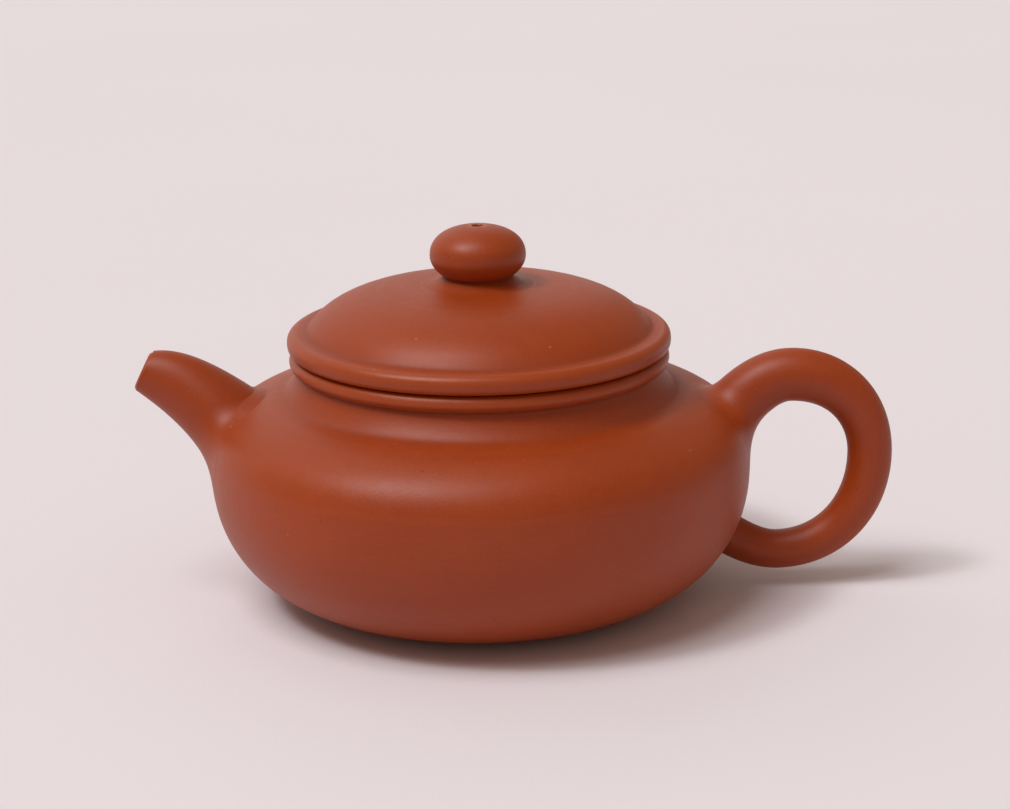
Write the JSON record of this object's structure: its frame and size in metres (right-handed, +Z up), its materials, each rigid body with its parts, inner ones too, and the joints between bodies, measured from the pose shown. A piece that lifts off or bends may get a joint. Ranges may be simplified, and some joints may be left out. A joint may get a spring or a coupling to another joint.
{
  "type": "teapot",
  "caption": "Squat unglazed clay teapot with a short curved spout, a round loop handle and a domed lift-off lid with a ball knob.",
  "frame": {"origin": "on the pot's axis, in the plane of the flat ring that it stands on", "axes": "+Z up along the pot's axis, +X towards the handle, -X towards the spout, +Y completes the right-handed frame"},
  "size_m": [0.1503, 0.1068, 0.0744],
  "materials": {
    "outer_clay": "matt",
    "inner_clay": "matt"
  },
  "bodies": {
    "pot": {"base_disc": "outer_clay", "belly_wall": "outer_clay", "shoulder_disc": "outer_clay", "neck_ring": "outer_clay", "mouth_lip": "outer_clay", "spout": "outer_clay", "spout_strainer": "inner_clay", "handle": "outer_clay"},
    "lid": {"lid_dome": "outer_clay", "lid_rim": "outer_clay", "lid_flange": "inner_clay", "knob_collar": "outer_clay", "knob": "outer_clay"}
  },
  "joints": [
    {"name": "lid_lift", "type": "slide", "parent": "pot", "child": "lid", "axis": [0, 0, 1], "range_m": [0, 0.06]}
  ]
}
